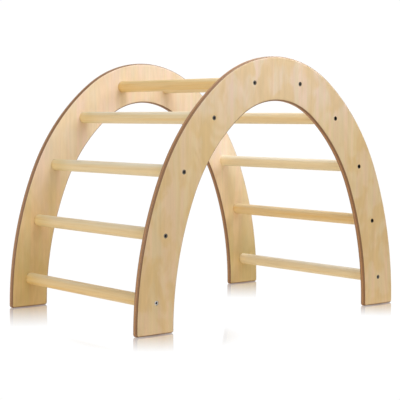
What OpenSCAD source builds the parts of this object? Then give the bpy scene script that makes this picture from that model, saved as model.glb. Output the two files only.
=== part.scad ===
// Wooden rocker arch: two arched plywood side panels joined by round climbing rungs.
// It stands on the four feet of the panels, or rocks on its back when it is turned over.
// Millimetres. Origin on the floor under the middle; +X along the arch, +Y along the rungs, +Z up.
// Each panel is cut flat from plywood, and every rung is drawn up between the panels by a bolt
// at each end that runs into a threaded insert.

/* [Arch] */
// Length of the arch on the floor, over its two legs
arch_length = 800; // [720:10:960]
// Height of the arch above the floor
arch_height = 602; // [540:1:700]
// Width of the whole piece, over the two side panels
overall_width = 520; // [400:10:800]

/* [Side panels] */
// Width of the plywood band between its outer and its inner edge
band_width = 101; // [80:1:120]
// Thickness of the plywood
ply_thickness = 15; // [12:0.5:24]
// Radius of the round-over along every edge of a panel
arris_radius = 5; // [1:0.5:5.5]
// Radius of the corners of the feet, seen from the side; it is larger than the round-over's
foot_corner_radius = 6; // [6:1:20]
// Angle above the floor line at which the low arc of a leg runs into the haunch arc
low_arc_end = 23; // [18:1:28]
// Angle above the floor line at which the haunch arc runs into the crown arc
haunch_arc_end = 53; // [46:1:58]
// Flatness of the low arcs: 1 gives the radius that a half ellipse has at its foot
low_arc_flatness = 0.935; // [0.9:0.005:1]

/* [Rungs] */
// Number of rungs on each side of the crown
rungs_per_side = 5; // [3:1:6]
// Diameter of a rung
rung_diameter = 28; // [22:1:35]
// Height of the middle of the two lowest rungs above the floor
lowest_rung_height = 69; // [50:0.5:90]
// Chamfer round the ends of a rung
rung_chamfer = 1; // [0.5:0.25:2]
// Depth of the recess in a panel's inner face that takes the end of a rung
rung_seat_depth = 4; // [3:0.5:7]
// Clearance round the end of a rung in its recess
rung_seat_clearance = 0.1; // [0.05:0.05:0.3]

/* [Bolts] */
// Diameter of the bolt's shank
bolt_diameter = 6; // [5:0.5:6.5]
// Length of the bolt under its head
bolt_length = 20; // [16:1:40]
// Chamfer at the bolt's tip
bolt_tip_chamfer = 0.8; // [0.4:0.1:1.2]
// Diameter of the bolt's head
head_diameter = 10; // [9:0.5:12]
// Height of the bolt's head
head_height = 6; // [4:0.5:7]
// Chamfer round the top of the bolt's head
head_chamfer = 0.6; // [0.2:0.1:1]
// Width across the flats of the hexagonal socket in the head
socket_across_flats = 5; // [3:0.5:6]
// Depth of the socket
socket_depth = 3; // [2:0.5:3.5]
// How far the top of the head lies below the panel's outer face
head_sink = 0.5; // [0:0.25:1.5]
// Clearance round the shank in its hole through the panel
bolt_hole_clearance = 0.25; // [0.1:0.05:0.5]
// Clearance round the head in its counterbore
counterbore_clearance = 0.25; // [0.2:0.05:0.8]

/* [Threaded inserts] */
// Diameter of an insert over its outer thread
insert_diameter = 10; // [9:0.5:14]
// Length of an insert
insert_length = 15; // [10:1:25]
// Depth of the insert's outer thread
insert_thread_depth = 0.7; // [0.3:0.1:1]
// Number of turns of the insert's outer thread
insert_thread_turns = 5; // [3:1:8]
// How far an insert lies below the end face of its rung
insert_sink = 0.5; // [0:0.25:2]
// Clearance round an insert in the bore of its rung
insert_clearance = 0.05; // [0:0.01:0.1]
// Clearance round the bolt's shank in the insert
thread_clearance = 0.05; // [0.02:0.01:0.15]
// Room left in the rung's bore past the insert and the bolt's tip
bore_end_room = 2; // [1:0.5:5]

/* [Hidden] */
$fa = 1;
$fs = 0.4;
cut = 1; // how far a cutting tool runs past the face that it cuts
placing_step = 0.001; // first step in which an arc is placed; the second holds the rest
rung_count = 2 * rungs_per_side;

// The outer edge of a panel is a three-centred arch. The low arc starts straight up from the
// foot, and the haunch and crown radii are the two that bring the curve to the top of the arch.
half_length = arch_length / 2;
foot_height = foot_corner_radius;
low_radius = low_arc_flatness * arch_height * arch_height / half_length;
haunch_run = cos(low_arc_end) - cos(haunch_arc_end);
haunch_rise = sin(haunch_arc_end) - sin(low_arc_end);
crown_run = cos(haunch_arc_end);
crown_rise = 1 - sin(haunch_arc_end);
run_left = half_length - low_radius * (1 - cos(low_arc_end));
rise_left = arch_height - foot_height - low_radius * sin(low_arc_end);
closing = haunch_run * crown_rise - crown_run * haunch_rise;
haunch_radius = (run_left * crown_rise - crown_run * rise_left) / closing;
crown_radius = (haunch_run * rise_left - haunch_rise * run_left) / closing;
low_centre = [half_length - low_radius, foot_height];
haunch_centre = low_centre + (low_radius - haunch_radius) * [cos(low_arc_end), sin(low_arc_end)];
crown_centre = [0, arch_height - crown_radius];

// The rungs stand at equal steps along the middle line of the band, counted from the crown.
mid = band_width / 2;
crown_reach = (crown_radius - mid) * (90 - haunch_arc_end) * PI / 180;
haunch_reach = crown_reach + (haunch_radius - mid) * (haunch_arc_end - low_arc_end) * PI / 180;
low_turn = asin((lowest_rung_height - foot_height) / (low_radius - mid));
lowest_reach = haunch_reach + (low_radius - mid) * (low_arc_end - low_turn) * PI / 180;
rung_pitch = lowest_reach / (rungs_per_side - 0.5);

// A point on the middle line, a distance s along it from the crown towards +X
function on_arc(centre, radius, angle) = centre + (radius - mid) * [cos(angle), sin(angle)];
function turn(s, radius) = s / (radius - mid) * 180 / PI;
function mid_point(s) =
    s < crown_reach ? on_arc(crown_centre, crown_radius, 90 - turn(s, crown_radius))
    : s < haunch_reach
    ? on_arc(haunch_centre, haunch_radius, haunch_arc_end - turn(s - crown_reach, haunch_radius))
    : on_arc(low_centre, low_radius, low_arc_end - turn(s - haunch_reach, low_radius));

// Middle of rung i, from 1 at the foot on the -X side over the crown to the foot on the +X side
function rung_place(i) =
    let (steps = i - (rung_count + 1) / 2, p = mid_point(abs(steps) * rung_pitch))
    [sign(steps) * p.x, p.y];

// Levels through a panel, from its inner face outwards
inner_face = overall_width / 2 - ply_thickness;
head_seat = ply_thickness - head_sink - head_height;
rung_length = 2 * (inner_face + rung_seat_depth);
bolt_reach = bolt_length - (head_seat - rung_seat_depth);
rung_bore_depth = max(insert_sink + insert_length, bolt_reach) + bore_end_room;

// Shared profiles and placing

// Moves a piece to p in two steps, so that arcs which run into each other meet to the last digit
module placed(p) {
    near = [for (v = p) round(v / placing_step) * placing_step];
    translate(near) translate(p - near) children();
}

// A rectangle with round corners, from the origin towards +X and +Y
module rounded_rectangle(size, radius) {
    translate([radius, 0]) square([size.x - 2 * radius, size.y]);
    translate([0, radius]) square([size.x, size.y - 2 * radius]);
    for (x = [radius, size.x - radius], y = [radius, size.y - radius])
        translate([x, y]) circle(r = radius);
}

// Stands a piece that is drawn on the inner face of a panel up in the front and the rear panel
module at_front() {
    rotate([90, 0, 0]) translate([0, 0, inner_face]) children();
}

module at_rear() {
    mirror([0, 1, 0]) at_front() children();
}

module at_rung(i) {
    translate(rung_place(i)) children();
}

// Side panels, drawn flat: X along the arch, Y up, Z outwards from the inner face

module band_arc(centre, radius, from, to) {
    placed(centre)
        rotate_extrude(angle = to - from, start = from)
            placed([radius - band_width, 0])
                rounded_rectangle([band_width, ply_thickness], arris_radius);
}

// Half of the rounded section, which runs round the end of a foot
module foot_edge_profile() {
    intersection() {
        translate([-foot_corner_radius, 0])
            rounded_rectangle([2 * foot_corner_radius, ply_thickness], arris_radius);
        square([foot_corner_radius, ply_thickness]);
    }
}

module foot() {
    inner_corner = half_length - band_width + foot_corner_radius;
    outer_corner = half_length - foot_corner_radius;
    translate([inner_corner, foot_height])
        rotate_extrude(angle = 90, start = 180) foot_edge_profile();
    translate([outer_corner, foot_height])
        rotate_extrude(angle = 90, start = 270) foot_edge_profile();
    translate([outer_corner, foot_height])
        rotate([90, 0, -90])
            linear_extrude(height = outer_corner - inner_corner) foot_edge_profile();
}

module leg() {
    foot();
    band_arc(low_centre, low_radius, 0, low_arc_end);
    band_arc(haunch_centre, haunch_radius, low_arc_end, haunch_arc_end);
}

// The recess for a rung's end, the bolt's hole and the counterbore for its head
module rung_fixing_cut() {
    translate([0, 0, -cut])
        cylinder(d = rung_diameter + 2 * rung_seat_clearance, h = rung_seat_depth + cut);
    cylinder(d = bolt_diameter + 2 * bolt_hole_clearance, h = ply_thickness);
    translate([0, 0, head_seat])
        cylinder(d = head_diameter + 2 * counterbore_clearance, h = head_sink + head_height + cut);
}

module side_panel() {
    color("burlywood") difference() {
        union() {
            band_arc(crown_centre, crown_radius, haunch_arc_end, 180 - haunch_arc_end);
            leg();
            mirror([1, 0, 0]) leg();
        }
        for (i = [1:rung_count]) at_rung(i) rung_fixing_cut();
    }
}

module front_side_panel() {
    at_front() side_panel();
}

module rear_side_panel() {
    at_rear() side_panel();
}

// Rungs: round rods with an eased edge, bored at both ends for the inserts

module rung_end_bore() {
    translate([0, 0, rung_length / 2 - rung_bore_depth])
        cylinder(d = insert_diameter + 2 * insert_clearance, h = rung_bore_depth + cut);
}

module rung(i) {
    r = rung_diameter / 2;
    end = rung_length / 2;
    rod = [
        [0, -end], [r - rung_chamfer, -end], [r, rung_chamfer - end],
        [r, end - rung_chamfer], [r - rung_chamfer, end], [0, end]
    ];
    color("wheat") rotate([90, 0, 0]) at_rung(i) difference() {
        rotate_extrude() polygon(rod);
        rung_end_bore();
        mirror([0, 0, 1]) rung_end_bore();
    }
}

// Threaded inserts: sleeves whose sharp outer thread holds in the wood of the rung

module insert() {
    crest = insert_diameter / 2;
    root = crest - insert_thread_depth;
    step = insert_length / insert_thread_turns;
    bore = bolt_diameter / 2 + thread_clearance;
    ridges = [for (k = [0:insert_thread_turns - 1], p = [[root, 0], [crest, 0.5]])
        [p.x, (k + p.y) * step]];
    translate([0, 0, rung_seat_depth - insert_sink - insert_length])
        rotate_extrude()
            polygon(concat([[bore, 0]], ridges, [[root, insert_length], [bore, insert_length]]));
}

module rung_inserts(i) {
    color("goldenrod") {
        at_front() at_rung(i) insert();
        at_rear() at_rung(i) insert();
    }
}

// Bolts: cap heads sunk in the panel's outer face, with a hexagonal socket

module bolt() {
    shank = bolt_diameter / 2;
    head = head_diameter / 2;
    outline = [
        [0, -bolt_length], [shank - bolt_tip_chamfer, -bolt_length],
        [shank, bolt_tip_chamfer - bolt_length], [shank, 0], [head, 0],
        [head, head_height - head_chamfer], [head - head_chamfer, head_height], [0, head_height]
    ];
    translate([0, 0, head_seat]) difference() {
        rotate_extrude() polygon(outline);
        translate([0, 0, head_height - socket_depth])
            cylinder(d = socket_across_flats / cos(30), h = socket_depth + cut, $fn = 6);
    }
}

module rung_bolts(i) {
    color("dimgray") {
        at_front() at_rung(i) bolt();
        at_rear() at_rung(i) bolt();
    }
}

front_side_panel();
rear_side_panel();
for (i = [1:rung_count]) {
    rung(i);
    rung_inserts(i);
    rung_bolts(i);
}
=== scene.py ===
"""Dresses the wooden rocker arch: birch plywood sides, ten turned rungs and their bolts.

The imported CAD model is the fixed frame. The sides, the rungs and the bolts are rebuilt
with Geometry Nodes from the same arch that the model has, and everything gets its own
wood or metal. All lengths are in metres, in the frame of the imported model: X along the
arch, Y across it, Z up, with the floor at Z = 0.
"""

import logging
import math
from dataclasses import dataclass, replace
from enum import Enum
from typing import Any, Dict, List, Mapping, Optional, Sequence, Tuple, Union

import bmesh
import bpy
from mathutils import Matrix, Vector


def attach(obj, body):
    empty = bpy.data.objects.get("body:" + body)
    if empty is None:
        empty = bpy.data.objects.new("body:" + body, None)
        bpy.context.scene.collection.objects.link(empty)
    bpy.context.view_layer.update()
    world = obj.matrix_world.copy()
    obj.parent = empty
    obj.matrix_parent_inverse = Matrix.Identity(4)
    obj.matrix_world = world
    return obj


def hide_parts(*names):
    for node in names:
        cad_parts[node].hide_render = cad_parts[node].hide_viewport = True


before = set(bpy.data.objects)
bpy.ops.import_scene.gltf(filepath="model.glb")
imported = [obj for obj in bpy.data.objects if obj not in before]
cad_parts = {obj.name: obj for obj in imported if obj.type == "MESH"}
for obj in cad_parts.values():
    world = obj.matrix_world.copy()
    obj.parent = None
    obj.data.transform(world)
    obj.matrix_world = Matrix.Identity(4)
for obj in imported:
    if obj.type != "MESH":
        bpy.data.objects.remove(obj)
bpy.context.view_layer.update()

log = logging.getLogger("rocker_arch")

Key = Union[str, int]
Operand = Union["Value", float]
Pair = Tuple[float, float]
Triple = Tuple[float, float, float]
Rgb = Triple
Box = Tuple[Vector, Vector]

BODY = "root"
ORIGIN: Triple = (0.0, 0.0, 0.0)
WHITE: Rgb = (1.0, 1.0, 1.0)
BURNT_OUT = 1.02
QUARTER_TURN = math.pi / 2


def node_box(name: str) -> Box:
    """The lowest and the highest corner of one CAD node, in whole millimetres."""
    spans = [[corner[axis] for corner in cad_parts[name].bound_box] for axis in range(3)]
    low = Vector([round(min(span), 3) for span in spans])
    high = Vector([round(max(span), 3) for span in spans])
    return low, high


REAR_SIDE = node_box("rear_side_panel")
INNER_FACE, OUTER_FACE = REAR_SIDE[0].y, REAR_SIDE[1].y
MID_PLANE = (INNER_FACE + OUTER_FACE) / 2
THICKNESS = OUTER_FACE - INNER_FACE


# ---------------------------------------------------------------------------- node maths


@dataclass(frozen=True)
class Figure:
    """Soft noise in a material, and how strongly it shows.

    The fineness is along X, Y and Z. The swing is how far the noise moves what it acts
    on, the relief is its share of the surface's relief, and the change is where on its
    way from 0 to 1 it goes over from one colour into another.
    """

    fineness: Triple
    detail: float = 2.0
    roughness: float = 0.5
    distortion: float = 0.0
    swing: float = 0.0
    relief: float = 0.0
    change: Pair = (0.0, 1.0)


class Outputs:
    """The outputs of one node, asked for by name or by number."""

    def __init__(self, graph: "Graph", node: bpy.types.Node) -> None:
        """Keeps the node and the graph it stands in."""
        self.graph = graph
        self.node = node

    def __getitem__(self, key: Key) -> "Value":
        """Gives one output that is in use, as a value to reckon with."""
        return Value(self.graph, self.graph.socket(self.node.outputs, key))


class Value:
    """What a node's socket puts out, with Python's operators on it.

    Arithmetic on numbers adds Math nodes. Vectors and colours have methods of their own,
    which add Vector Math and Mix nodes.
    """

    def __init__(self, graph: "Graph", socket: bpy.types.NodeSocket) -> None:
        """Keeps the socket and the graph it stands in."""
        self.graph = graph
        self.socket = socket

    def _math(self, operation: str, *operands: Operand) -> "Value":
        """Adds one Math node and gives its result."""
        return self.graph.add("ShaderNodeMath", dict(enumerate(operands)), operation=operation)[0]

    def __add__(self, other: Operand) -> "Value":
        """self + other."""
        return self._math("ADD", self, other)

    def __radd__(self, other: Operand) -> "Value":
        """other + self."""
        return self._math("ADD", other, self)

    def __sub__(self, other: Operand) -> "Value":
        """self - other."""
        return self._math("SUBTRACT", self, other)

    def __rsub__(self, other: Operand) -> "Value":
        """other - self."""
        return self._math("SUBTRACT", other, self)

    def __mul__(self, other: Operand) -> "Value":
        """self * other."""
        return self._math("MULTIPLY", self, other)

    def __rmul__(self, other: Operand) -> "Value":
        """other * self."""
        return self._math("MULTIPLY", other, self)

    def __truediv__(self, other: Operand) -> "Value":
        """self / other."""
        return self._math("DIVIDE", self, other)

    def __rtruediv__(self, other: Operand) -> "Value":
        """other / self."""
        return self._math("DIVIDE", other, self)

    def __mod__(self, other: Operand) -> "Value":
        """self % other, never below 0."""
        return self._math("FLOORED_MODULO", self, other)

    def __rmod__(self, other: Operand) -> "Value":
        """other % self."""
        return self._math("FLOORED_MODULO", other, self)

    def __neg__(self) -> "Value":
        """-self."""
        return self._math("MULTIPLY", self, -1.0)

    def __abs__(self) -> "Value":
        """abs(self)."""
        return self._math("ABSOLUTE", self)

    def __gt__(self, other: Operand) -> "Value":
        """1 where self > other, else 0."""
        return self._math("GREATER_THAN", self, other)

    def __lt__(self, other: Operand) -> "Value":
        """1 where self < other, else 0."""
        return self._math("LESS_THAN", self, other)

    def floor(self) -> "Value":
        """The whole number at or below self."""
        return self._math("FLOOR", self)

    def sign(self) -> "Value":
        """-1, 0 or 1."""
        return self._math("SIGN", self)

    def sin(self) -> "Value":
        """The sine of self, in radians."""
        return self._math("SINE", self)

    def cos(self) -> "Value":
        """The cosine of self, in radians."""
        return self._math("COSINE", self)

    def at_least(self, low: Operand) -> "Value":
        """The larger of self and low."""
        return self._math("MAXIMUM", self, low)

    def at_most(self, high: Operand) -> "Value":
        """The smaller of self and high."""
        return self._math("MINIMUM", self, high)

    def ramped(self, start: float, end: float, low: float = 0.0, high: float = 1.0) -> "Value":
        """Eases from low to high while self goes from start to end.

        Args:
            start: Where the rise begins.
            end: Where the rise ends.
            low: The value before the rise.
            high: The value after the rise.

        Returns:
            The eased value.
        """
        sockets = {
            "Value": self, "From Min": start, "From Max": end, "To Min": low, "To Max": high
        }
        return self.graph.add("ShaderNodeMapRange", sockets, interpolation_type="SMOOTHSTEP")[0]

    def parts(self) -> Tuple["Value", "Value", "Value"]:
        """The X, Y and Z of a vector."""
        split = self.graph.add("ShaderNodeSeparateXYZ", {0: self})
        return split["X"], split["Y"], split["Z"]

    def stretched(self, by: Union["Value", Triple]) -> "Value":
        """A vector or a colour times another, part by part."""
        return self.graph.add("ShaderNodeVectorMath", {0: self, 1: by}, operation="MULTIPLY")[0]

    def scaled(self, by: Operand) -> "Value":
        """A vector or a colour times a number."""
        sockets = {0: self, "Scale": by}
        return self.graph.add("ShaderNodeVectorMath", sockets, operation="SCALE")[0]

    def distance_to(self, place: Triple) -> "Value":
        """How far a place is from another."""
        sockets = {0: self, 1: place}
        return self.graph.add("ShaderNodeVectorMath", sockets, operation="DISTANCE")["Value"]

    def toned(self, other: Union["Value", Rgb], share: Operand) -> "Value":
        """A colour that goes over into another as the share goes from 0 to 1."""
        return self.graph.mixed(self, other, share)

    def figured(self, figure: Figure) -> "Value":
        """Soft noise at a place.

        Args:
            figure: How the noise is drawn.

        Returns:
            The noise, from 0 to 1 and about 0.5 on average.
        """
        sockets = {
            "Vector": self.stretched(figure.fineness),
            "Scale": 1.0,
            "Detail": figure.detail,
            "Roughness": figure.roughness,
            "Distortion": figure.distortion,
        }
        return self.graph.add("ShaderNodeTexNoise", sockets, noise_dimensions="3D")[0]


class Graph:
    """A node tree that is being built, of a material, a world or Geometry Nodes."""

    def __init__(self, tree: bpy.types.NodeTree) -> None:
        """Keeps the tree."""
        self.tree = tree

    @staticmethod
    def socket(sockets: Sequence[bpy.types.NodeSocket], key: Key) -> bpy.types.NodeSocket:
        """Finds a socket by its name among those in use, or by its number.

        Args:
            sockets: A node's inputs or outputs.
            key: The socket's name or number.

        Returns:
            The socket.
        """
        if isinstance(key, int):
            return [s for s in sockets if s.enabled][key]
        return next(s for s in sockets if s.enabled and s.name == key)

    def add(
        self, kind: str, sockets: Optional[Mapping[Key, Any]] = None, **settings: Any
    ) -> Outputs:
        """Adds one node.

        Args:
            kind: The node's type, such as ShaderNodeTexNoise.
            sockets: The values or links of its inputs, by name or number. An input that
                takes several links gets a tuple of them.
            **settings: The node's own settings, which are set first.

        Returns:
            The node's outputs.
        """
        node = self.tree.nodes.new(kind)
        for name, setting in settings.items():
            setattr(node, name, setting)
        for key, value in (sockets or {}).items():
            socket = self.socket(node.inputs, key)
            if isinstance(value, Value):
                self.tree.links.new(value.socket, socket)
            elif socket.is_multi_input:
                for part in value:
                    self.tree.links.new(part.socket, socket)
            elif socket.type == "RGBA" and len(value) == 3:
                socket.default_value = (*value, 1.0)
            else:
                socket.default_value = value
        return Outputs(self, node)

    def mixed(
        self, first: Union[Value, Rgb], second: Union[Value, Rgb], share: Operand
    ) -> Value:
        """The first colour where the share is 0, and the second where it is 1."""
        sockets = {"Factor": share, "A": first, "B": second}
        return self.add("ShaderNodeMix", sockets, data_type="RGBA", clamp_factor=True)["Result"]

    def picked(self, number: Value, choices: Sequence[Operand]) -> Value:
        """The choice that a whole number stands for, counted from 0.

        Args:
            number: The number.
            choices: What 0, 1 and so on stand for.

        Returns:
            The choice, as a number.
        """
        total: Operand = 0.0
        for place, choice in enumerate(choices):
            total = (abs(number - place) < 0.5) * choice + total
        return total

    def vector(self, x: Operand, y: Operand, z: Operand) -> Value:
        """A vector of three numbers."""
        return self.add("ShaderNodeCombineXYZ", {"X": x, "Y": y, "Z": z})[0]

    def in_view(self) -> Value:
        """1 for what the camera or a mirror sees, and 0 for what light falls from."""
        path = self.add("ShaderNodeLightPath")
        return path["Is Camera Ray"].at_least(path["Is Glossy Ray"])


# ------------------------------------------------------------------------------ finishes


class Slot(Enum):
    """The material slots of the record."""

    PLYWOOD = "birch_plywood"
    RUNG = "rung_wood"
    BOLT = "bolt_steel"
    INSERT = "insert_zinc"


class Surface(Graph):
    """The nodes of one material, with the place on the piece and the way it faces."""

    def __init__(self, name: str) -> None:
        """Starts the material with nothing but its coordinates."""
        self.material = bpy.data.materials.new(name)
        self.material.use_nodes = True
        self.material.node_tree.nodes.clear()
        super().__init__(self.material.node_tree)
        coordinates = self.add("ShaderNodeTexCoord")
        self.spot = coordinates["Object"]
        self.facing = coordinates["Normal"]

    def attribute(self, name: str) -> Value:
        """A number that the piece was built with."""
        return self.add("ShaderNodeAttribute", attribute_name=name)["Fac"]

    def ended(self, shader: Value) -> bpy.types.Material:
        """Links a shader to the output and gives the finished material."""
        self.add("ShaderNodeOutputMaterial", {"Surface": shader})
        return self.material

    def solid(
        self,
        colour: Value,
        roughness: Value,
        relief: Value,
        bump: Pair,
        constants: Mapping[str, float],
    ) -> bpy.types.Material:
        """Ends the material in a solid surface with a fine relief.

        Args:
            colour: Its base colour.
            roughness: Its roughness.
            relief: The relief's height, from 0 to 1.
            bump: The relief's strength, and its depth in metres.
            constants: The shader's sockets that are the same all over.

        Returns:
            The finished material.
        """
        strength, depth = bump
        height = {"Strength": strength, "Distance": depth, "Height": relief}
        normal = self.add("ShaderNodeBump", height)[0]
        sockets = {"Base Color": colour, "Roughness": roughness, "Normal": normal, **constants}
        return self.ended(self.add("ShaderNodeBsdfPrincipled", sockets)[0])


@dataclass(frozen=True)
class BirchPlywood:
    """Lacquered birch plywood: upright figure on the faces, stacked plies at the edges.

    The plies are planes at fixed depths, so a rounded edge cuts through the thin face
    veneer and shows the browner plies below it, as in the real board. Every other ply has
    its fibres along the arch instead of upright.
    """

    veneer: float = 0.0005
    inner_plies: int = 9
    cream: Rgb = (0.79, 0.625, 0.40)
    golden: Rgb = (0.75, 0.535, 0.26)
    rosy: Rgb = (0.83, 0.62, 0.43)
    veneer_rim: Pair = (0.7, 1.3)
    rosiness: Figure = Figure((60.0, 19.0, 2.2), 1.5, change=(0.42, 0.64))
    patches: Figure = Figure((25.0, 33.0, 14.0), 3.0, distortion=0.5, change=(0.43, 0.62))
    flames: Figure = Figure((13.0, 41.0, 3.4), 1.0, distortion=0.8)
    flame_rings: float = 44.0
    flame_share: float = 0.5
    flame_depth: float = 0.03
    bands: Figure = Figure((46.0, 57.0, 1.8), 2.0, 0.6, swing=0.12, change=(0.4, 0.6))
    streaks: Figure = Figure((210.0, 60.0, 3.0), 3.0, 0.6, swing=0.16, relief=0.4)
    fibres: Figure = Figure((1400.0, 300.0, 45.0), swing=0.18, relief=0.6)
    face_shade: float = 1.03
    liveliness: float = 0.3
    livelier_outside: float = 0.45
    # Painted light and shade as colours to multiply the faces with: the outer faces are painted paler
    # higher up, and the inner faces are painted darker and yellower low down and paler higher up.
    outer_low: Rgb = (1.02, 1.05, 1.04)
    outer_high_light: Rgb = (1.03, 1.09, 1.28)
    outer_change: Pair = (0.42, 0.53)
    inner_low_shade: Rgb = (0.84, 0.85, 0.65)
    inner_mid: Rgb = (1.0, 1.03, 1.0)
    inner_high_light: Rgb = (1.06, 1.12, 1.29)
    inner_change: Pair = (0.08, 0.24)
    inner_high_change: Pair = (0.26, 0.38)
    # Painted shade low on the inner left leg and painted light on the inner right leg, fading out
    # above the legs.
    left_leg_shade: Rgb = (1.01, 0.97, 0.88)
    left_leg_end: Pair = (0.22, 0.32)
    right_leg_light: Rgb = (1.09, 1.09, 1.10)
    right_leg_start: Pair = (0.08, 0.16)
    left_to_right: Pair = (-0.3, 0.3)
    legs_end: Pair = (0.44, 0.50)
    # A painted highlight patch on the rear panel's inner right face.
    painted_highlight: Rgb = (1.10, 1.16, 1.28)
    painted_highlight_place: Triple = (0.262, 0.2525, 0.368)
    painted_highlight_rim: Pair = (0.03, 0.06)
    side_grain: Rgb = (0.54, 0.285, 0.12)
    end_grain: Rgb = (0.28, 0.125, 0.048)
    upright_end_grain: float = 0.7
    glue: Rgb = (0.08, 0.04, 0.02)
    glue_line: Pair = (0.8, 0.98)
    glue_share: float = 0.5
    ply_tint: Figure = Figure((7.3, 3.1, 0.0), 0.0, swing=0.5)
    edge_fibres: Figure = Figure((260.0, 2600.0, 260.0), 3.0, 0.6, swing=0.5)
    edge_runs: Figure = Figure((16.0, 700.0, 16.0), swing=0.4)
    edge_shade: float = 0.72
    # Painted shade on the rounded arrises, darker than the flat middle of the edge, partly standing
    # for the browner plies near the faces.
    painted_arris_shade: Tuple[float, ...] = (0.003, 0.006, 0.58, 1.12)
    roughness: float = 0.46
    relief_roughness: float = 0.12
    coat: Pair = (0.12, 0.3)
    bump: Pair = (0.25, 0.0004)

    def make(self) -> bpy.types.Material:
        """Makes the material."""
        surface = Surface("lacquered_birch_plywood")
        _, across, _ = surface.spot.parts()
        depth = THICKNESS / 2 - abs(abs(across) - MID_PLANE)
        inside = depth.ramped(*(share * self.veneer for share in self.veneer_rim))
        face, relief = self._face(surface)
        return surface.solid(
            face.toned(self._edge(surface, depth), inside),
            self.roughness + relief * self.relief_roughness,
            relief,
            self.bump,
            dict(zip(("Coat Weight", "Coat Roughness"), self.coat)),
        )

    def _face(self, surface: Surface) -> Tuple[Value, Value]:
        """The face veneer: soft golden flames and patches, upright streaks, fine fibres.

        Args:
            surface: The material's nodes.

        Returns:
            The veneer's colour, and its relief from 0 to 1.
        """
        spot = surface.spot
        _, across, _ = spot.parts()
        lively = (abs(across) > MID_PLANE) * self.livelier_outside + self.liveliness
        bands, streaks = spot.figured(self.bands), spot.figured(self.streaks)
        fibres = spot.figured(self.fibres)
        swirl = 0.5 - (spot.figured(self.flames) * self.flame_rings).cos() * 0.5
        rosiness = spot.figured(self.rosiness).ramped(*self.rosiness.change)
        colour = surface.mixed(self.cream, self.rosy, rosiness)
        patches = spot.figured(self.patches).ramped(*self.patches.change)
        colour = colour.toned(self.golden, patches * lively)
        flamed = swirl * bands.ramped(*self.bands.change) * lively * self.flame_share
        colour = colour.toned(self.golden, flamed)
        shade = (
            self.face_shade
            - swirl * self.flame_depth
            + (bands - 0.5) * self.bands.swing
            + (streaks - 0.5) * self.streaks.swing
            + (fibres - 0.5) * self.fibres.swing
        )
        relief = streaks * self.streaks.relief + fibres * self.fibres.relief
        # The veneer's colour is multiplied by painted light and shade.
        return colour.scaled(shade).stretched(self._painted_face_light(surface)), relief

    def _painted_face_light(self, surface: Surface) -> Value:
        """Painted light and shade on the faces: painted shade, yellower and darker, low down on the
        inner faces and on the inner left leg; painted light, paler, higher up, on the inner right leg
        and in a painted highlight patch on the rear inner right.

        Args:
            surface: The material's nodes.

        Returns:
            A colour to multiply with.
        """
        along, across, height = surface.spot.parts()
        # Painted light: the outer faces are paler higher up.
        outer = surface.mixed(self.outer_low, self.outer_high_light, height.ramped(*self.outer_change))
        # Painted shade low down on the inner faces, and painted light higher up.
        inner = surface.mixed(self.inner_low_shade, self.inner_mid, height.ramped(*self.inner_change))
        inner = inner.toned(self.inner_high_light, height.ramped(*self.inner_high_change))
        # Painted light on the inner right leg and painted shade on the inner left leg.
        right_leg_light = surface.mixed(WHITE, self.right_leg_light, height.ramped(*self.right_leg_start))
        leg = surface.mixed(self.left_leg_shade, right_leg_light, along.ramped(*self.left_to_right))
        leg = leg.toned(WHITE, height.ramped(*self.left_leg_end) * (along < 0.0))
        inner = inner.stretched(leg.toned(WHITE, height.ramped(*self.legs_end)))
        # A painted highlight patch on the rear inner right.
        away = surface.spot.distance_to(self.painted_highlight_place)
        inner = inner.stretched(
            surface.mixed(self.painted_highlight, WHITE, away.ramped(*self.painted_highlight_rim))
        )
        return inner.toned(outer, abs(across) > MID_PLANE)

    def _edge(self, surface: Surface, depth: Value) -> Value:
        """The plies as they show at the edges.

        Args:
            surface: The material's nodes.
            depth: How far below the nearer face the place is.

        Returns:
            The edge's colour.
        """
        _, across, _ = surface.spot.parts()
        along_x, _, along_z = surface.facing.parts()
        core = THICKNESS - 2 * self.veneer
        layer = ((abs(across) - MID_PLANE) / core + 0.5) * self.inner_plies
        number = layer.floor()
        crosswise = 1.0 - number % 2.0
        upright = (1.0 - crosswise) * abs(along_z) * self.upright_end_grain
        in_layer = abs(layer % 1.0 - 0.5) * 2.0
        tint = surface.vector(number, across.sign(), 0.0).figured(self.ply_tint)
        fibres = surface.spot.figured(self.edge_fibres)
        runs = surface.spot.figured(self.edge_runs)
        end_on = crosswise * abs(along_x) + upright
        colour = surface.mixed(self.side_grain, self.end_grain, end_on)
        colour = colour.toned(self.glue, in_layer.ramped(*self.glue_line) * self.glue_share)
        # Painted shade on the rounded arrises near both faces, partly the browner plies there; the
        # flat middle is lighter.
        shade = depth.ramped(*self.painted_arris_shade) * (
            self.edge_shade
            + tint * self.ply_tint.swing
            + (fibres - 0.5) * self.edge_fibres.swing
            + (runs - 0.5) * self.edge_runs.swing
        )
        return colour.scaled(shade)


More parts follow.
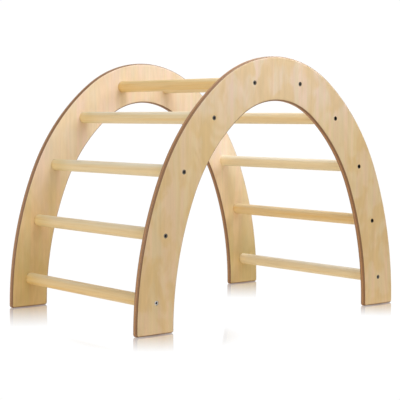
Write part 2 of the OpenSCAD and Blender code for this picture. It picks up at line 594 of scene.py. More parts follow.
@dataclass(frozen=True)
class RungWood:
    """Turned, finely sanded pale wood, its fibres along the rung.

    How golden a rung is comes from its own attribute, which the rungs are built with.
    """

    tone: str = "rung_tone"
    pale: Rgb = (0.90, 0.76, 0.50)
    golden: Rgb = (0.83, 0.55, 0.205)
    grain: Figure = Figure((140.0, 3.0, 140.0), 3.0, 0.6, swing=0.45, relief=0.3, change=(0.35, 0.75))
    rings: Figure = Figure((60.0, 1.2, 60.0), 1.0, distortion=0.3, swing=0.05, change=(0.6, 1.0))
    rings_in_figure: float = 8.0
    fibres: Figure = Figure((1300.0, 40.0, 1300.0), swing=0.10, relief=0.7)
    # Painted light and shade as colours to multiply the wood with: a painted sheen on top, painted
    # light below, painted shade at the ends.
    top: Rgb = (0.97, 1.05, 1.28)
    top_change: Pair = (0.25, 0.85)
    underside_light: Rgb = (0.96, 1.03, 1.15)
    underside_change: Pair = (0.3, 0.9)
    shaded_end: Rgb = (0.90, 0.88, 0.74)
    end_start: Pair = (0.15, 0.24)
    left_to_right: Tuple[float, ...] = (-0.2, 0.1, 1.1, 0.2)
    roughness: float = 0.5
    fibre_roughness: float = 0.1
    coat: Pair = (0.08, 0.35)
    bump: Pair = (0.2, 0.0003)

    def make(self) -> bpy.types.Material:
        """Makes the material."""
        surface = Surface("sanded_rung_wood")
        grain, fibres = surface.spot.figured(self.grain), surface.spot.figured(self.fibres)
        rings = surface.spot.figured(self.rings) * self.rings_in_figure
        lines = (abs(rings % 1.0 - 0.5) * 2.0).ramped(*self.rings.change)
        tone = surface.attribute(self.tone)
        share = tone + (grain.ramped(*self.grain.change) - 0.5) * self.grain.swing
        colour = surface.mixed(self.pale, self.golden, share)
        # Painted light and shade on the rung.
        colour = colour.stretched(self._painted_rung_light(surface))
        shade = 1.0 - lines * self.rings.swing + (fibres - 0.5) * self.fibres.swing
        return surface.solid(
            colour.scaled(shade),
            self.roughness + fibres * self.fibre_roughness,
            grain * self.grain.relief + fibres * self.fibres.relief,
            self.bump,
            dict(zip(("Coat Weight", "Coat Roughness"), self.coat)),
        )

    def _painted_rung_light(self, surface: Surface) -> Value:
        """Painted light and shade on a rung: a painted sheen on top, painted light on the underside,
        painted shade near the ends, most at the left.

        Args:
            surface: The material's nodes.

        Returns:
            A colour to multiply with.
        """
        place, along, _ = surface.spot.parts()
        _, _, upwards = surface.facing.parts()
        # A painted sheen on the top and painted light on the underside.
        rung_light = surface.mixed(WHITE, self.top, upwards.ramped(*self.top_change))
        rung_light = rung_light.toned(self.underside_light, (-upwards).ramped(*self.underside_change))
        # Painted shade near the ends of the rungs, most on the left ones.
        by_side = abs(along).ramped(*self.end_start) * place.ramped(*self.left_to_right)
        return rung_light.stretched(surface.mixed(WHITE, self.shaded_end, by_side))


@dataclass(frozen=True)
class PlatedMetal:
    """Plated and slightly rubbed metal, for the bolts and the threaded inserts.

    Shade is painted in the sockets of the bolts and round their sunk heads, from a little below
    the tops of the heads downward. How much darker a whole bolt is painted comes from its own
    attribute, which the bolts are built with. Below 0 it says how far a bolt is painted lighter
    instead, but for the painted shade in its socket.
    """

    name: str
    colour: Rgb
    rubbed: Rgb
    roughness: float
    grime: str = "bolt_grime"
    painted_light: Rgb = (0.62, 0.60, 0.56)
    socket_shade: float = 0.0
    painted_shade: Rgb = (0.03, 0.027, 0.024)
    socket_shade_depth: Pair = (0.0008, 0.0020)
    rubbing: Figure = Figure((420.0, 420.0, 420.0), 3.0, 0.6, swing=0.2, change=(0.45, 0.8))
    turning: Figure = Figure((900.0, 6000.0, 900.0), 1.0)
    bump: Pair = (0.2, 0.0001)

    def make(self) -> bpy.types.Material:
        """Makes the material."""
        surface = Surface(self.name)
        _, across, _ = surface.spot.parts()
        rubbing = surface.spot.figured(self.rubbing)
        # How much darker, or below 0 lighter, each whole bolt is painted.
        grime = surface.attribute(self.grime)
        # Painted shade in the sockets and round the sunk heads, below a little under the outer face.
        socket_shaded = (OUTER_FACE - abs(across)).ramped(*self.socket_shade_depth) * self.socket_shade
        colour = surface.mixed(self.colour, self.rubbed, rubbing.ramped(*self.rubbing.change))
        # Painted light on bolts whose attribute is below 0.
        colour = colour.toned(self.painted_light, -grime)
        return surface.solid(
            # Painted shade: the socket's, and a whole bolt's darker paint.
            colour.toned(self.painted_shade, socket_shaded + grime.at_least(0.0)),
            self.roughness + (rubbing - 0.5) * self.rubbing.swing,
            surface.spot.figured(self.turning),
            self.bump,
            {"Metallic": 1.0},
        )


@dataclass(frozen=True)
class GlossyFloor:
    """A plain white floor that mirrors the feet close by them.

    To the camera and to mirrors it looks burnt out to white, as the studio's surround
    does. To the arch it is a warm matt floor with a glow of its own, which stands for the
    light that the bright studio throws up from below.
    """

    feet: Tuple[Pair, ...]
    front_reach: float = 0.19
    rear_reach: float = 0.30
    gloss: float = 0.85
    gloss_roughness: float = 0.06
    bounce: Rgb = (0.62, 0.52, 0.38)
    lift: float = 0.57

    def make(self) -> bpy.types.Material:
        """Makes the material."""
        surface = Surface("glossy_white_floor")
        nearness: Operand = 0.0
        for x, y in self.feet:
            reach = self.front_reach if y < 0 else self.rear_reach
            nearness = (1.0 - surface.spot.distance_to((x, y, 0.0)) / reach).at_least(nearness)
        white = {"Color": WHITE, "Strength": BURNT_OUT}
        mirror = {"Color": WHITE, "Roughness": self.gloss_roughness}
        matt = {
            "Base Color": self.bounce,
            "Roughness": 1.0,
            "Specular IOR Level": 0.0,
            "Emission Color": self.bounce,
            "Emission Strength": self.lift,
        }
        seen = {
            0: nearness * self.gloss,
            1: surface.add("ShaderNodeEmission", white)[0],
            2: surface.add("ShaderNodeBsdfAnisotropic", mirror)[0],
        }
        both = {
            0: surface.in_view(),
            1: surface.add("ShaderNodeBsdfPrincipled", matt)[0],
            2: surface.add("ShaderNodeMixShader", seen)[0],
        }
        return surface.ended(surface.add("ShaderNodeMixShader", both)[0])


# -------------------------------------------------------------------------------- pieces


class Recipe(Graph):
    """The Geometry Nodes of one piece, whose sizes are named inputs."""

    def __init__(self, name: str) -> None:
        """Starts the tree with its group input, still without sizes."""
        super().__init__(bpy.data.node_groups.new(name, "GeometryNodeTree"))
        self.tree.interface.new_socket(
            name="Geometry", in_out="OUTPUT", socket_type="NodeSocketGeometry"
        )
        self.name = name
        self.inputs = self.tree.nodes.new("NodeGroupInput")
        self.values: Dict[str, Any] = {}

    def size(self, name: str, value: Any, kind: str = "NodeSocketFloat") -> Value:
        """Adds a named input.

        Args:
            name: What the input is called.
            value: What it is set to on the modifier.
            kind: The type of its socket.

        Returns:
            The input, for use in the tree.
        """
        item = self.tree.interface.new_socket(name=name, in_out="INPUT", socket_type=kind)
        self.values[item.identifier] = value
        return Value(self, self.inputs.outputs[name])

    def index(self) -> Value:
        """The number of each point, vertex or instance, counted from 0."""
        return self.add("GeometryNodeInputIndex")[0]

    def line(self, count: Union[Value, int]) -> Value:
        """A line of so many vertices, each still to be placed."""
        return self.add(
            "GeometryNodeMeshLine", {"Count": count}, mode="OFFSET", count_mode="TOTAL"
        )[0]

    def sheet(self, columns: int, rows: int) -> Tuple[Value, Value, Value]:
        """A sheet of vertices that is to go once round something, each still to be placed.

        Args:
            columns: How many columns go round. One more ends the sheet on the first.
            rows: How many vertices a column has.

        Returns:
            The sheet, and the number of each vertex's column and row.
        """
        size = {"Vertices X": columns + 1, "Vertices Y": rows}
        index = self.index()
        mesh = self.add("GeometryNodeMeshGrid", size)["Mesh"]
        return mesh, (index / rows).floor() % columns, index % rows

    def placed(self, geometry: Value, x: Operand, y: Operand, z: Operand) -> Value:
        """Puts every point of a geometry at its own place."""
        sockets = {"Geometry": geometry, "Position": self.vector(x, y, z)}
        return self.add("GeometryNodeSetPosition", sockets)[0]

    def moved(
        self, geometry: Value, by: Union[Value, Triple] = ORIGIN, turn: Triple = ORIGIN
    ) -> Value:
        """Turns a whole geometry and then moves it."""
        sockets = {"Geometry": geometry, "Translation": by, "Rotation": turn}
        return self.add("GeometryNodeTransform", sockets)[0]

    def joined(self, *parts: Value) -> Value:
        """Several geometries as one."""
        return self.add("GeometryNodeJoinGeometry", {"Geometry": parts})[0]

    def flipped(self, mesh: Value) -> Value:
        """A mesh whose faces look the other way."""
        return self.add("GeometryNodeFlipFaces", {"Mesh": mesh})[0]

    def smoothed(self, mesh: Value) -> Value:
        """A mesh whose faces are shaded smooth."""
        return self.add("GeometryNodeSetShadeSmooth", {"Geometry": mesh}, domain="FACE")[0]

    def circle(self, sides: int, radius: Operand) -> Value:
        """A circle, as a curve."""
        sockets = {"Resolution": sides, "Radius": radius}
        return self.add("GeometryNodeCurvePrimitiveCircle", sockets, mode="RADIUS")[0]

    def repeated(
        self, points: Value, instance: Value, turn: Union[Value, Triple] = ORIGIN
    ) -> Value:
        """An instance of a geometry on every point."""
        sockets = {"Points": points, "Instance": instance, "Rotation": turn}
        return self.add("GeometryNodeInstanceOnPoints", sockets)[0]

    def marked(
        self, instances: Value, name: str, number: Value, amounts: Sequence[float]
    ) -> Value:
        """Stores an amount with every instance, for its material to read.

        Args:
            instances: The instances.
            name: The attribute that holds the amounts.
            number: Which of the amounts an instance gets.
            amounts: The amounts.

        Returns:
            The instances.
        """
        sockets = {"Geometry": instances, "Name": name, "Value": self.picked(number, amounts)}
        return self.add(
            "GeometryNodeStoreNamedAttribute", sockets, data_type="FLOAT", domain="INSTANCE"
        )[0]

    def real(self, instances: Value) -> Value:
        """Instances as plain geometry."""
        return self.add("GeometryNodeRealizeInstances", {"Geometry": instances})[0]

    def build(self, instances: Value, material: bpy.types.Material) -> bpy.types.Object:
        """Ends the tree, runs it, and gives its result as a plain mesh at the origin.

        Args:
            instances: The geometry to realise.
            material: What it is made of.

        Returns:
            The finished piece, with no modifier left.
        """
        sockets = {"Geometry": self.real(instances), "Material": material}
        dressed = self.add("GeometryNodeSetMaterial", sockets)[0]
        self.add("NodeGroupOutput", {"Geometry": dressed}, is_active_output=True)
        piece = bpy.data.objects.new(self.name, bpy.data.meshes.new(self.name))
        bpy.context.scene.collection.objects.link(piece)
        modifier = piece.modifiers.new(self.name, "NODES")
        modifier.node_group = self.tree
        for identifier, value in self.values.items():
            modifier[identifier] = value
        depsgraph = bpy.context.evaluated_depsgraph_get()
        result = bpy.data.meshes.new_from_object(piece.evaluated_get(depsgraph))
        result.name = self.name
        piece.modifiers.remove(modifier)
        piece.data = result
        return piece


def hand_over(piece: bpy.types.Object, nodes: Sequence[str]) -> None:
    """Lets a piece ride on the arch in place of some CAD nodes, and logs it.

    Args:
        piece: The finished piece.
        nodes: The CAD nodes that it stands for.
    """
    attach(piece, BODY)
    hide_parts(*nodes)
    faces = len(piece.data.polygons)
    log.info("%s: %d faces, stands for %d CAD nodes", piece.name, faces, len(nodes))


@dataclass(frozen=True)
class ArchLine:
    """The three-centred arch that both sides are cut to, and where the rungs sit on it."""

    length: float
    height: float
    band: float = 0.101
    foot_corner: float = 0.006
    low_end: float = math.radians(23.0)
    haunch_end: float = math.radians(53.0)
    flatness: float = 0.935
    rungs_per_side: int = 5
    lowest_rung: float = 0.069

    @classmethod
    def in_box(cls, box: Box) -> "ArchLine":
        """The arch that fills a box from foot to foot and from the floor to its top."""
        low, high = box
        return cls(length=high.x - low.x, height=high.z - low.z)

    @property
    def rung_count(self) -> int:
        """How many rungs the arch carries."""
        return 2 * self.rungs_per_side

    @property
    def foot_place(self) -> float:
        """How far from the middle of the arch the middle of a foot is."""
        return (self.length - self.band) / 2

    @property
    def low_radius(self) -> float:
        """The outer radius of the two low arcs."""
        return self.flatness * self.height**2 / (self.length / 2)

    @property
    def _closing(self) -> Pair:
        """The outer radii of the haunch arcs and of the crown arc.

        They are the two that bring the curve in line to the top of the arch.
        """
        haunch_run = math.cos(self.low_end) - math.cos(self.haunch_end)
        haunch_rise = math.sin(self.haunch_end) - math.sin(self.low_end)
        crown_run = math.cos(self.haunch_end)
        crown_rise = 1.0 - math.sin(self.haunch_end)
        run_left = self.length / 2 - self.low_radius * (1.0 - math.cos(self.low_end))
        rise_left = self.height - self.foot_corner - self.low_radius * math.sin(self.low_end)
        closing = haunch_run * crown_rise - crown_run * haunch_rise
        return (
            (run_left * crown_rise - crown_run * rise_left) / closing,
            (haunch_run * rise_left - haunch_rise * run_left) / closing,
        )

    @property
    def haunch_radius(self) -> float:
        """The outer radius of the two haunch arcs."""
        return self._closing[0]

    @property
    def crown_radius(self) -> float:
        """The outer radius of the crown arc."""
        return self._closing[1]

    @property
    def low_centre(self) -> Pair:
        """The centre of the low arc on the +X side."""
        return self.length / 2 - self.low_radius, self.foot_corner

    @property
    def haunch_centre(self) -> Pair:
        """The centre of the haunch arc on the +X side."""
        step = self.low_radius - self.haunch_radius
        x, z = self.low_centre
        return x + step * math.cos(self.low_end), z + step * math.sin(self.low_end)

    @property
    def crown_centre(self) -> Pair:
        """The centre of the crown arc."""
        return 0.0, self.height - self.crown_radius

    @property
    def _middle(self) -> Tuple[Tuple[Pair, float, float, float], ...]:
        """The arcs of the middle of the band: centre, radius, upper and lower angle."""
        inset = self.band / 2
        return (
            (self.crown_centre, self.crown_radius - inset, QUARTER_TURN, self.haunch_end),
            (self.haunch_centre, self.haunch_radius - inset, self.haunch_end, self.low_end),
            (self.low_centre, self.low_radius - inset, self.low_end, 0.0),
        )

    @property
    def rung_pitch(self) -> float:
        """The distance between two rungs along the middle of the band."""
        *_, (_, low_radius, _, _) = self._middle
        rise = math.asin((self.lowest_rung - self.foot_corner) / low_radius)
        whole = sum(radius * (upper - lower) for _, radius, upper, lower in self._middle)
        return (whole - low_radius * rise) / (self.rungs_per_side - 0.5)

    def point_at(self, distance: Value) -> Tuple[Value, Value]:
        """Where a distance from the crown, along the middle of the band, leads to.

        Args:
            distance: The distance, positive towards +X. It ends above the feet's corners.

        Returns:
            The X and the Z of that point.
        """
        along = abs(distance)
        x: Operand = 0.0
        z: Operand = 0.0
        run = 0.0
        reached: Operand = 1.0
        for centre, radius, upper, lower in self._middle:
            angle = upper - (along - run) / radius
            run += radius * (upper - lower)
            passed = along > run
            here = reached - passed
            x = here * (centre[0] + radius * angle.cos()) + x
            z = here * (centre[1] + radius * angle.sin()) + z
            reached = passed
        return distance.sign() * x, z

    def rung_line(self, recipe: Recipe, each: int = 1) -> Tuple[Value, Value, Value, Value]:
        """A line of vertices, still to be placed, with the rung that each belongs to.

        Args:
            recipe: The recipe, which gets the rungs' pitch and number as inputs.
            each: How many vertices every rung gets.

        Returns:
            The line, the number of a vertex's rung, and that rung's X and Z.
        """
        pitch = recipe.size("Rung Pitch", self.rung_pitch)
        count = recipe.size("Rung Count", self.rung_count, "NodeSocketInt")
        rung = (recipe.index() / each).floor()
        x, z = self.point_at((rung - (self.rung_count - 1) / 2) * pitch)
        return recipe.line(count * each), rung, x, z


@dataclass(frozen=True)
class Bend:
    """One arc of a side's outline, drawn about a centre from one angle to another.

    Its last station is left to the next bend, unless a straight line follows it.
    """

    centre: Tuple[Operand, Operand]
    radius: Operand
    start: float
    end: float
    stations: int
    hollow: bool = False
    before_line: bool = False

    @property
    def turn(self) -> float:
        """The angle from one station to the next."""
        return (self.end - self.start) / (self.stations - (1 if self.before_line else 0))

    def reversed(self) -> "Bend":
        """The same arc drawn the other way."""
        return replace(self, start=self.end, end=self.start)

    def mirrored(self) -> "Bend":
        """The same arc on the other leg."""
        x, y = self.centre
        return replace(self, centre=(-x, y), start=math.pi - self.start, end=math.pi - self.end)


@dataclass(frozen=True)
class Outline:
    """The closed outline of a side, drawn flat with X along the arch and Y up."""

    recipe: Recipe
    bends: Tuple[Bend, ...]

    @property
    def stations(self) -> int:
        """How many stations there are all round."""
        return sum(bend.stations for bend in self.bends)

    def point(self, number: Value, inset: Operand) -> Tuple[Value, Value]:
        """The place of a station, moved square to the outline into the wood.

        Args:
            number: The station's number.
            inset: How far it is moved.

        Returns:
            The X and Y of the place.
        """
        x: Operand = 0.0
        y: Operand = 0.0
        reach: Operand = 0.0
        angle: Operand = 0.0
        first = 0
        for bend in self.bends:
            last = first + bend.stations
            here = (number > first - 0.5) * (number < last - 0.5)
            x = here * bend.centre[0] + x
            y = here * bend.centre[1] + y
            reach = here * (bend.radius + inset if bend.hollow else bend.radius - inset) + reach
            angle = here * ((number - first) * bend.turn + bend.start) + angle
            first = last
        return x + reach * angle.cos(), y + reach * angle.sin()


@dataclass
class SidePanels:
    """The two arched plywood sides, rounded along every edge and drilled for the rungs."""

    arch: ArchLine
    round_over: float = 0.005
    round_steps: int = 7
    flat_rim: float = 0.0005
    corner_steps: int = 9
    station_step: float = 0.006
    seat_diameter: float = 0.0282
    seat_depth: float = 0.004
    bolt_hole: float = 0.0065
    counterbore: float = 0.0105
    head_seat: float = 0.0085
    hole_sides: int = 48
    weld: float = 0.00002
    crease: float = math.radians(35.0)
    finish: BirchPlywood = BirchPlywood()
    nodes: Tuple[str, ...] = ("front_side_panel", "rear_side_panel")

    def build(self) -> None:
        """Builds both sides as one mesh and dresses it.

        A side is drawn flat, with Z from its inner to its outer face, and then stood up.
        """
        recipe = Recipe("side_panels")
        thickness = recipe.size("Thickness", THICKNESS)
        round_over = recipe.size("Round-over", self.round_over)
        seat = recipe.size("Seat Diameter", self.seat_diameter)
        counterbore = recipe.size("Counterbore", self.counterbore)
        outline = self._outline(recipe)
        line, _, x, y = self.arch.rung_line(recipe)
        places = recipe.placed(line, x, y, 0.0)
        border = self._border(outline, round_over + self.flat_rim)
        outer_face = self._face(recipe, border, places, counterbore)
        side = recipe.joined(
            self._edge(outline, thickness, round_over),
            recipe.flipped(self._face(recipe, border, places, seat)),
            recipe.moved(outer_face, recipe.vector(0.0, 0.0, thickness)),
            self._holes(recipe, places, seat, counterbore, thickness),
        )
        welded = {"Geometry": side, "Distance": self.weld}
        side = self._smooth(recipe, recipe.add("GeometryNodeMergeByDistance", welded)[0])
        front = recipe.moved(side, (0.0, -INNER_FACE, 0.0), (QUARTER_TURN, 0.0, 0.0))
        rear = recipe.moved(front, turn=(0.0, 0.0, math.pi))
        piece = recipe.build(recipe.joined(front, rear), self.finish.make())
        hand_over(piece, self.nodes)

    def _outline(self, recipe: Recipe) -> Outline:
        """The outline, clockwise from the left end of the crown.

        Args:
            recipe: The recipe, which gets the outline's sizes as inputs.

        Returns:
            The outline. A straight sole joins the two corners of each foot.
        """
        arch = self.arch
        half = recipe.size("Half Length", arch.length / 2)
        height = recipe.size("Height", arch.height)
        band = recipe.size("Band Width", arch.band)
        corner = recipe.size("Foot Corner", arch.foot_corner)
        low = recipe.size("Low Radius", arch.low_radius)
        haunch = recipe.size("Haunch Radius", arch.haunch_radius)
        crown = recipe.size("Crown Radius", arch.crown_radius)
        low_centre = (half - low, corner)
        haunch_centre = (
            low_centre[0] + (low - haunch) * math.cos(arch.low_end),
            corner + (low - haunch) * math.sin(arch.low_end),
        )
        arcs = (
            ((0.0, height - crown), crown, arch.crown_radius, math.pi - arch.haunch_end),
            (haunch_centre, haunch, arch.haunch_radius, arch.haunch_end),
            (low_centre, low, arch.low_radius, arch.low_end),
        )
        ends = (arch.haunch_end, arch.low_end, 0.0)
        outer, inner = (
            [
                Bend(centre, radius - inset, start, end, self._steps(size - less, start - end), hollow)
                for (centre, radius, size, start), end in zip(arcs, ends)
            ]
            for inset, less, hollow in ((0.0, 0.0, False), (band, arch.band, True))
        )
        toe, heel = half - corner, half - band + corner
        return Outline(
            recipe,
            (
                *outer,
                *self._foot(toe, heel, corner),
                *(bend.reversed() for bend in inner[::-1]),
                *(bend.mirrored() for bend in inner[1:]),
                *self._foot(-heel, -toe, corner),
                *(bend.mirrored().reversed() for bend in outer[:0:-1]),
            ),
        )

    def _steps(self, radius: float, angle: float) -> int:
        """How many stations an arc gets."""
        return round(radius * angle / self.station_step)

    def _foot(self, right: Value, left: Value, corner: Value) -> Tuple[Bend, Bend]:
        """The right and the left corner of a foot, with its sole between them."""
        first = Bend((right, corner), corner, 0.0, -QUARTER_TURN, self.corner_steps, before_line=True)
        return first, Bend((left, corner), corner, -QUARTER_TURN, -math.pi, self.corner_steps)

    def _edge(self, outline: Outline, thickness: Value, round_over: Value) -> Value:
        """The rounded edge all round a side, with a narrow flat rim at both faces.

        Args:
            outline: The side's outline.
            thickness: The side's thickness.
            round_over: The radius of the rounded edge.

        Returns:
            The edge's mesh.
        """
        recipe = outline.recipe
        rows = 2 * (self.round_steps + 2)
        sheet, station, row = recipe.sheet(outline.stations, rows)
        from_face = row.at_most(rows - 1 - row)
        roll = ((from_face - 1.0) / self.round_steps).at_least(0.0) * QUARTER_TURN
        inset = round_over * (1.0 - roll.sin()) + (from_face < 0.5) * self.flat_rim
        rise = round_over * (1.0 - roll.cos())
        upper = row > rows / 2 - 0.5
        x, y = outline.point(station, inset)
        z = rise + upper * (thickness - rise * 2.0)
        return recipe.flipped(recipe.placed(sheet, x, y, z))

    def _border(self, outline: Outline, inset: Value) -> Value:
        """The closed line round a side's flat face.

        Args:
            outline: The side's outline.
            inset: How far inside the outline the flat face ends.

        Returns:
            The line, as a curve.
        """
        recipe = outline.recipe
        x, y = outline.point(recipe.index(), inset)
        ring = recipe.placed(recipe.line(outline.stations), x, y, 0.0)
        curve = recipe.add("GeometryNodeMeshToCurve", {"Mesh": ring})[0]
        return recipe.add("GeometryNodeSetSplineCyclic", {"Geometry": curve, "Cyclic": True})[0]

    def _face(self, recipe: Recipe, border: Value, places: Value, bore: Value) -> Value:
        """A flat face of a side with a round opening at every rung.

        Args:
            recipe: The recipe.
            border: The line round the face.
            places: A point for every rung.
            bore: The diameter of the openings.

        Returns:
            The face's mesh, facing up.
        """
        circle = recipe.circle(self.hole_sides, bore * 0.5)
        openings = recipe.real(recipe.repeated(places, circle))
        drawn = recipe.joined(border, openings)
        return recipe.add("GeometryNodeFillCurve", {"Curve": drawn}, mode="TRIANGLES")[0]

    def _holes(
        self, recipe: Recipe, places: Value, seat: Value, counterbore: Value, thickness: Value
    ) -> Value:
        """The walls of the rung's seat, the bolt's hole and its counterbore, at every rung.

        Args:
            recipe: The recipe, which gets the depths and the bolt's hole as inputs.
            places: A point for every rung.
            seat: The diameter of the seat.
            counterbore: The diameter of the counterbore.
            thickness: The side's thickness.

        Returns:
            The walls' mesh.
        """
        seat_depth = recipe.size("Seat Depth", self.seat_depth)
        head_seat = recipe.size("Head Seat", self.head_seat)
        hole = recipe.size("Bolt Hole", self.bolt_hole)
        diameters = (seat, seat, hole, hole, counterbore, counterbore)
        levels = (0.0, seat_depth, seat_depth, head_seat, head_seat, thickness)
        sheet, column, row = recipe.sheet(self.hole_sides, len(levels))
        angle = column * (2 * math.pi / self.hole_sides)
        radius = recipe.picked(row, diameters) * 0.5
        level = recipe.picked(row, levels)
        wall = recipe.placed(sheet, radius * angle.cos(), radius * angle.sin(), level)
        return recipe.real(recipe.repeated(places, recipe.flipped(wall)))

    def _smooth(self, recipe: Recipe, side: Value) -> Value:
        """Shades a side smooth, but for its sharp creases.

        Args:
            recipe: The recipe.
            side: The side's mesh.

        Returns:
            The same mesh, shaded.
        """
        bend = recipe.add("GeometryNodeInputMeshEdgeAngle")["Unsigned Angle"]
        sockets = {
            "Geometry": recipe.smoothed(side),
            "Selection": bend > self.crease,
            "Shade Smooth": False,
        }
        return recipe.add("GeometryNodeSetShadeSmooth", sockets, domain="EDGE")[0]


@dataclass
class Rungs:
    """The ten round rungs, set into the inner faces of the sides."""

    arch: ArchLine
    diameter: float = 0.028
    seat_depth: float = 0.004
    eased: float = 0.001
    stations: int = 16
    ease_steps: int = 4
    sides: int = 48
    tones: Tuple[float, ...] = (0.65, 0.42, 0.28, 0.35, 0.88, 0.5, 0.4, 0.02, 0.72, 0.2)
    finish: RungWood = RungWood()

    def build(self) -> None:
        """Builds all rungs as one mesh and dresses it.

        A rung reaches from the bottom of one seat to the bottom of the other.
        """
        recipe = Recipe("rungs")
        length = recipe.size("Rung Length", 2 * (INNER_FACE + self.seat_depth))
        radius = recipe.size("Rung Radius", self.diameter / 2)
        eased = recipe.size("Eased End", self.eased)
        line, number, x, z = self.arch.rung_line(recipe)
        rung = self._rung(recipe, length, radius, eased)
        rungs = recipe.repeated(recipe.placed(line, x, 0.0, z), rung)
        toned = recipe.marked(rungs, self.finish.tone, number, self.tones)
        piece = recipe.build(toned, self.finish.make())
        hand_over(piece, [f"rung_{n + 1}" for n in range(self.arch.rung_count)])

    def _rung(self, recipe: Recipe, length: Value, radius: Value, eased: Value) -> Value:
        """One rung along Y: a swept circle that is eased at both ends.

        Args:
            recipe: The recipe.
            length: The rung's length.
            radius: Its radius.
            eased: How far the ends are eased.

        Returns:
            The rung's mesh, smooth but for the rims of its ends.
        """
        half = length * 0.5
        ends = {
            "Start": recipe.vector(0.0, -half, 0.0),
            "End": recipe.vector(0.0, half, 0.0),
        }
        line = recipe.add("GeometryNodeCurvePrimitiveLine", ends, mode="POINTS")[0]
        count = {"Curve": line, "Count": self.stations}
        points = recipe.add("GeometryNodeResampleCurve", count, mode="COUNT")[0]
        number = recipe.index()
        last = self.stations - 1
        from_end = number.at_most(last - number)
        side = (number > last / 2) * 2.0 - 1.0
        # The first stations at each end draw the eased edge; the rest share the length.
        turn = (1.0 - from_end.at_most(self.ease_steps) / self.ease_steps) * QUARTER_TURN
        inward = (from_end - self.ease_steps).at_least(0.0) / (last / 2 - self.ease_steps)
        place = half - eased * (1.0 - turn.sin()) - (half - eased) * inward
        sweep = {
            "Curve": recipe.placed(points, 0.0, side * place, 0.0),
            "Profile Curve": recipe.circle(self.sides, 1.0),
            "Scale": radius - eased * (1.0 - turn.cos()),
            "Fill Caps": True,
        }
        return recipe.smoothed(recipe.add("GeometryNodeCurveToMesh", sweep)[0])


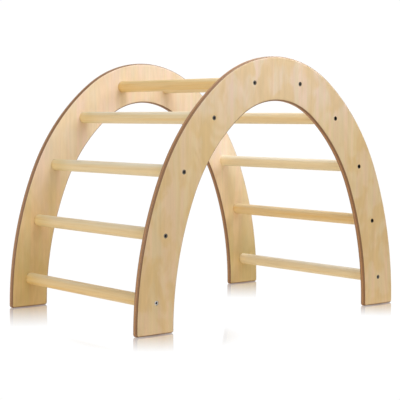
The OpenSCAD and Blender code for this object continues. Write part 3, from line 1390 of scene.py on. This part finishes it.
@dataclass
class RungBolts:
    """The socket-head bolts, two to a rung, sunk a little below the outer faces."""

    arch: ArchLine
    head_diameter: float = 0.010
    head_height: float = 0.006
    head_edge: float = 0.0006
    edge_steps: int = 4
    under_edge: float = 0.0002
    shank_diameter: float = 0.006
    shank_length: float = 0.020
    tip_chamfer: float = 0.0008
    socket_flats: float = 0.005
    socket_depth: float = 0.003
    socket_flare: float = 1.04
    flare_depth: float = 0.0002
    drill_share: Pair = (0.46, 0.05)
    drill_point: float = 0.0008
    head_sink: float = 0.0005
    sides: int = 48
    crease: float = math.radians(35.0)
    seed: int = 7
    # How much darker, or below 0 lighter, the bolts of each rung are painted.
    grime: Tuple[float, ...] = (-0.8, 0.1, 0.2, 0.0, 0.0, 0.2, 0.9, 1.0, 1.0, 0.1)
    # The finish paints shade in the sockets.
    finish: PlatedMetal = PlatedMetal(
        "dark_plated_steel", (0.15, 0.14, 0.125), (0.30, 0.285, 0.26), 0.38, socket_shade=0.9
    )

    def build(self) -> None:
        """Builds all bolts as one mesh and dresses it."""
        pattern = self._bolt()
        recipe = Recipe("rung_bolts")
        level = recipe.size("Head Level", OUTER_FACE - self.head_sink)
        source = {"Object": recipe.size("Bolt", pattern, "NodeSocketObject")}
        seed = recipe.size("Seed", self.seed, "NodeSocketInt")
        line, rung, x, z = self.arch.rung_line(recipe, each=2)
        number = recipe.index()
        side = (number % 2.0) * 2.0 - 1.0
        limits = {"Min": 0.0, "Max": math.pi / 3, "ID": number, "Seed": seed}
        turn = recipe.add("FunctionNodeRandomValue", limits, data_type="FLOAT")["Value"]
        bolt = recipe.add("GeometryNodeObjectInfo", source, transform_space="ORIGINAL")
        # Tilted about X to look outwards, then turned about Y, which is the bolt's own axis.
        tilted = recipe.vector(side * -QUARTER_TURN, turn, 0.0)
        seats = recipe.placed(line, x, side * level, z)
        bolts = recipe.repeated(seats, bolt["Geometry"], tilted)
        shaded_bolts = recipe.marked(bolts, self.finish.grime, rung, self.grime)
        piece = recipe.build(shaded_bolts, self.finish.make())
        bpy.data.objects.remove(pattern)
        nodes = [f"rung_{n + 1}_bolts" for n in range(self.arch.rung_count)]
        hand_over(piece, nodes)

    def _bolt(self) -> bpy.types.Object:
        """One bolt along Z with the top of its head at Z = 0, as a pattern to repeat."""
        half_flats, bottom = self.socket_flats / 2, -self.socket_depth
        wide, narrow = (share * self.socket_flats for share in self.drill_share)
        profile = [
            *((radius, level, False) for radius, level in self._outline()),
            (self.socket_flare * half_flats, 0.0, True),
            (half_flats, -self.flare_depth, True),
            (half_flats, bottom, True),
            (wide, bottom, False),
            (narrow, bottom - self.drill_point, False),
        ]
        mesh = bmesh.new()
        rings = [self._ring(mesh, *step) for step in profile]
        for lower, upper in zip(rings, rings[1:]):
            for n in range(self.sides):
                after = (n + 1) % self.sides
                mesh.faces.new((lower[n], lower[after], upper[after], upper[n]))
        mesh.faces.new(rings[0][::-1])
        mesh.faces.new(rings[-1])
        bmesh.ops.recalc_face_normals(mesh, faces=mesh.faces)
        data = bpy.data.meshes.new("bolt_pattern")
        mesh.to_mesh(data)
        mesh.free()
        data.shade_smooth()
        data.set_sharp_from_angle(angle=self.crease)
        pattern = bpy.data.objects.new("bolt_pattern", data)
        bpy.context.scene.collection.objects.link(pattern)
        return pattern

    def _outline(self) -> List[Pair]:
        """The bolt's outline from the tip to the rim of the head, as radius and height."""
        shank, head = self.shank_diameter / 2, self.head_diameter / 2
        under = -self.head_height
        tip = under - self.shank_length
        points = [
            (shank - self.tip_chamfer, tip),
            (shank, tip + self.tip_chamfer),
            (shank, under),
            (head - self.under_edge, under),
            (head, under + self.under_edge),
        ]
        for step in range(self.edge_steps + 1):
            angle = QUARTER_TURN * step / self.edge_steps
            inwards, down = 1.0 - math.cos(angle), 1.0 - math.sin(angle)
            points.append((head - self.head_edge * inwards, -self.head_edge * down))
        return points

    def _ring(
        self, mesh: bmesh.types.BMesh, radius: float, level: float, hexagonal: bool
    ) -> List[bmesh.types.BMVert]:
        """A ring of vertices round the bolt's axis.

        Args:
            mesh: The mesh that gets them.
            radius: The ring's radius, or half of a hexagon's width across its flats.
            level: The ring's height.
            hexagonal: Whether the ring is a hexagon instead of a circle.

        Returns:
            The vertices.
        """
        flat = math.pi / 3
        ring = []
        for n in range(self.sides):
            angle = 2 * math.pi * n / self.sides
            reach = radius / math.cos(angle % flat - flat / 2) if hexagonal else radius
            ring.append(mesh.verts.new((reach * math.cos(angle), reach * math.sin(angle), level)))
        return ring


@dataclass
class RungInserts:
    """The threaded inserts inside the rung ends, which the bolts screw into."""

    count: int
    finish: PlatedMetal = PlatedMetal(
        "yellow_zinc", (0.62, 0.52, 0.33), (0.78, 0.72, 0.58), 0.34
    )

    def dress(self) -> None:
        """Gives the inserts their plating."""
        material = self.finish.make()
        for number in range(1, self.count + 1):
            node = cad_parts[f"rung_{number}_inserts"]
            node.data.materials.clear()
            node.data.materials.append(material)
        log.info("rung inserts: %d carried over in %s", self.count, material.name)


# -------------------------------------------------------------------------------- studio


@dataclass(frozen=True)
class PhotoCamera:
    """The camera where the photograph was taken from."""

    place: Triple = (-1.87759, -2.25588, 0.45774)
    heading: float = math.radians(39.560)
    downward: float = math.radians(3.849)
    roll: float = math.radians(0.226)
    lens: float = 107.598
    sensor: float = 36.0
    clip: Pair = (0.05, 100.0)

    def build(self) -> None:
        """Builds the camera and makes it the scene's."""
        data = bpy.data.cameras.new("photo_camera")
        data.lens, data.sensor_width = self.lens, self.sensor
        data.clip_start, data.clip_end = self.clip
        camera = bpy.data.objects.new("photo_camera", data)
        sideways, forwards = math.sin(self.heading), math.cos(self.heading)
        level = math.cos(self.downward)
        ahead = Vector((sideways * level, forwards * level, -math.sin(self.downward)))
        right = Vector((forwards, -sideways, 0.0))
        up = right.cross(ahead)
        rolled = right * math.cos(self.roll) + up * math.sin(self.roll)
        turned = Matrix((rolled, rolled.cross(ahead), -ahead)).transposed()
        camera.matrix_world = Matrix.Translation(self.place) @ turned.to_4x4()
        bpy.context.scene.collection.objects.link(camera)
        bpy.context.scene.camera = camera


@dataclass(frozen=True)
class Softbox:
    """A square area light that is turned towards a point."""

    name: str
    place: Triple
    size: float
    power: float
    target: Triple = (0.0, 0.0, 0.3)
    colour: Rgb = WHITE

    def build(self) -> None:
        """Builds the light."""
        data = bpy.data.lights.new(self.name, "AREA")
        data.shape = "SQUARE"
        data.size, data.energy, data.color = self.size, self.power, self.colour
        light = bpy.data.objects.new(self.name, data)
        ahead = Vector(self.target) - Vector(self.place)
        turned = ahead.to_track_quat("-Z", "Y").to_matrix().to_4x4()
        light.matrix_world = Matrix.Translation(self.place) @ turned
        bpy.context.scene.collection.objects.link(light)


@dataclass(frozen=True)
class Studio:
    """The bright white studio: floor, soft light and an even white surround."""

    feet: Tuple[Pair, ...]
    floor_size: float = 14.0
    ambient: float = 0.02
    lights: Tuple[Softbox, ...] = (
        Softbox("right_softbox", (1.2, -0.2, 1.7), 0.9, 21.0),
        Softbox("front_softbox", (-0.8, -2.8, 1.6), 1.5, 17.0),
        Softbox("overhead_softbox", (0.0, -0.6, 1.3), 0.6, 6.8),
        Softbox("left_softbox", (-2.6, 0.2, 0.9), 1.4, 26.6),
    )

    def build(self) -> None:
        """Builds the floor, the lights and the surround."""
        half = self.floor_size / 2
        corners = [(-half, -half, 0.0), (half, -half, 0.0), (half, half, 0.0), (-half, half, 0.0)]
        data = bpy.data.meshes.new("studio_floor")
        data.from_pydata(corners, [], [(0, 1, 2, 3)])
        data.materials.append(GlossyFloor(self.feet).make())
        floor = bpy.data.objects.new("studio_floor", data)
        bpy.context.scene.collection.objects.link(floor)
        for light in self.lights:
            light.build()
        self._surround()
        bpy.context.scene.view_settings.view_transform = "Standard"

    def _surround(self) -> None:
        """Makes the surround: white to look at, but almost dark as a light."""
        world = bpy.data.worlds.new("white_surround")
        world.use_nodes = True
        world.node_tree.nodes.clear()
        graph = Graph(world.node_tree)
        strength = self.ambient + graph.in_view() * (BURNT_OUT - self.ambient)
        shine = graph.add("ShaderNodeBackground", {"Color": WHITE, "Strength": strength})[0]
        graph.add("ShaderNodeOutputWorld", {"Surface": shine})
        bpy.context.scene.world = world


# ---------------------------------------------------------------------------------- main


def main() -> None:
    """Builds the studio and dresses the arch, piece by piece."""
    logging.basicConfig(level=logging.INFO, format="%(name)s: %(message)s")
    arch = ArchLine.in_box(REAR_SIDE)
    feet = tuple(
        (along * arch.foot_place, across * MID_PLANE) for along in (-1, 1) for across in (-1, 1)
    )
    PhotoCamera().build()
    Studio(feet).build()
    SidePanels(arch).build()
    Rungs(arch).build()
    RungBolts(arch).build()
    RungInserts(arch.rung_count).dress()


if __name__ == "__main__":
    main()
